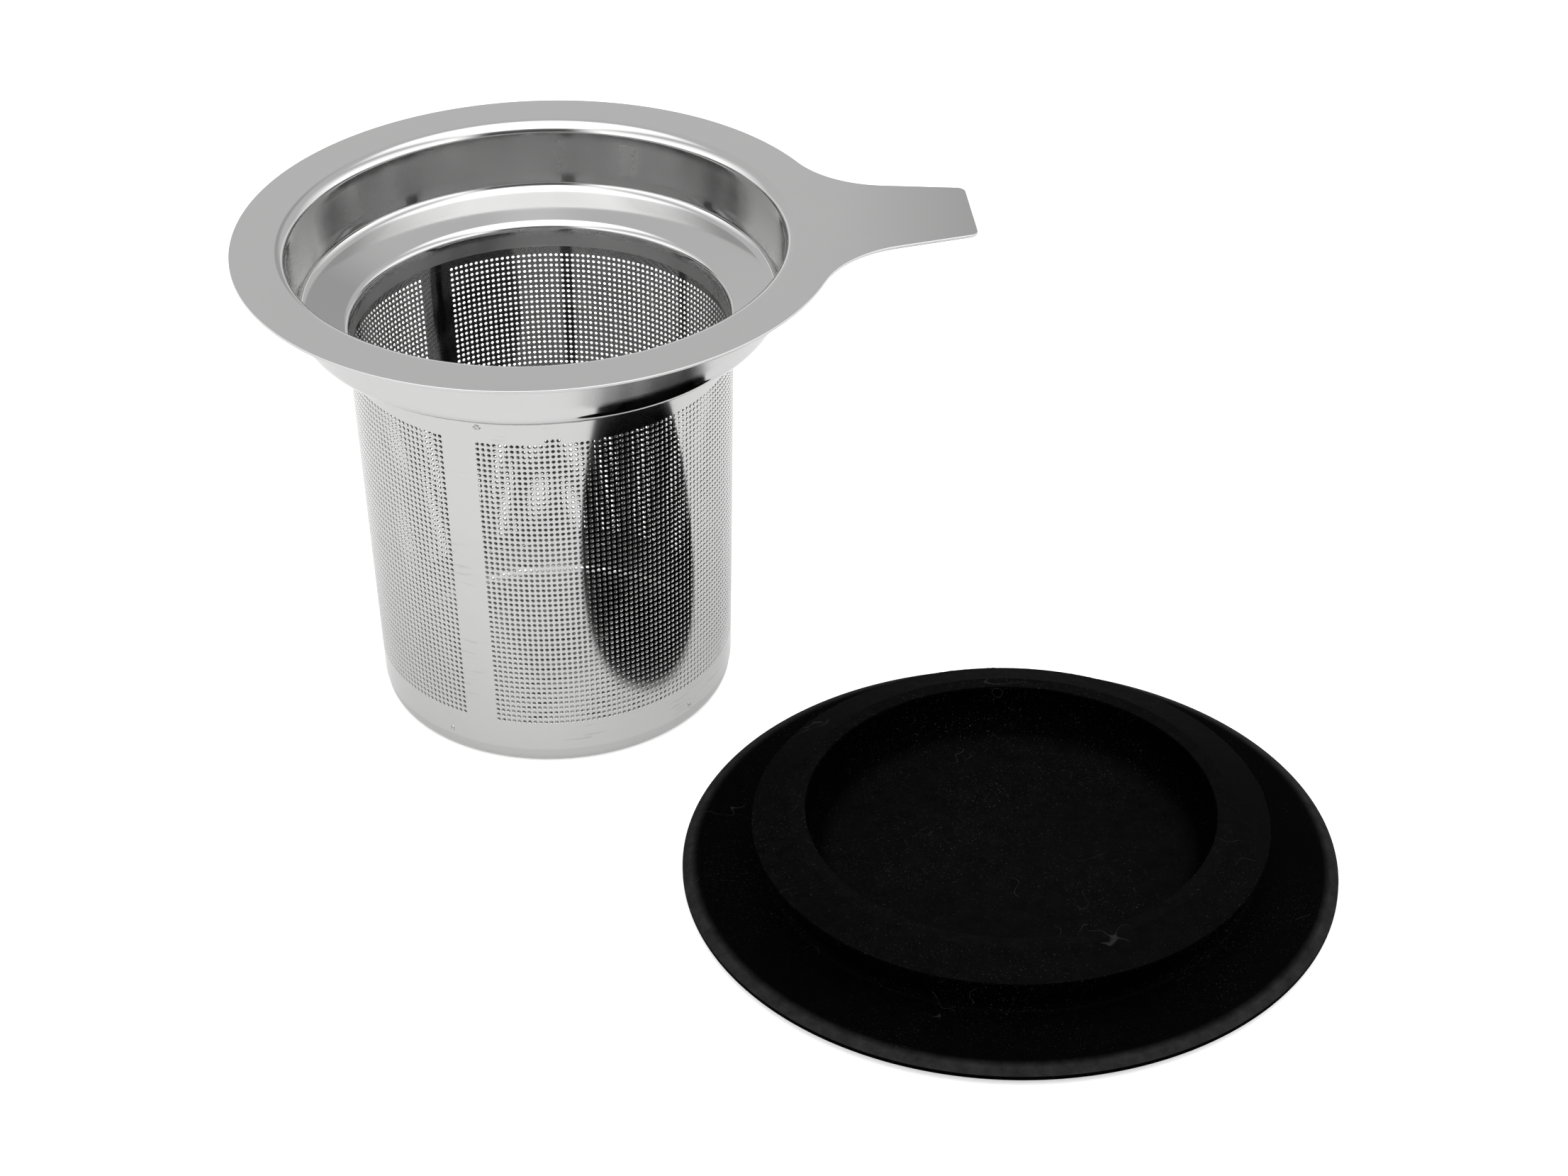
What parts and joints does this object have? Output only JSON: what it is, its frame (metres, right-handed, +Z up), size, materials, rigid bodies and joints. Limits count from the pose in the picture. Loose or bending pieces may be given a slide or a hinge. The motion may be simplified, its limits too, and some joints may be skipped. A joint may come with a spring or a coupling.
{
  "type": "tea infuser basket with lid",
  "caption": "Perforated steel infuser basket with a flat rim and a tab handle that hangs in a mug, and a silicone lid that doubles as a drip dish.",
  "frame": {"origin": "centre of the base cup's underside, on the basket's axis, where the basket stands", "axes": "+Z up the basket's axis, +X along the handle; the lid lies upside down in front and to the right"},
  "size_m": [0.1489, 0.1464, 0.0732],
  "materials": {
    "collar_steel": "bright rolled stainless sheet, satin on the flange and polished on the drawn bowl",
    "sleeve_steel": "bright rolled stainless sheet with a square grid of small round holes",
    "base_steel": "bright drawn stainless sheet",
    "weld_steel": "dull spot weld",
    "lid_silicone": "matt moulded silicone"
  },
  "bodies": {
    "basket": {"rim_collar": "collar_steel", "mesh_sleeve": "sleeve_steel", "base_cup": "base_steel", "collar_spot_welds": "weld_steel", "base_spot_welds": "weld_steel", "seam_spot_welds": "weld_steel"},
    "lid": {"silicone_lid": "lid_silicone"}
  },
  "joints": [
    {"name": "lid_lift", "type": "slide", "parent": "basket", "child": "lid", "axis": [0.3609, -0.3461, 0.866], "range_m": [0, 0.1]}
  ]
}
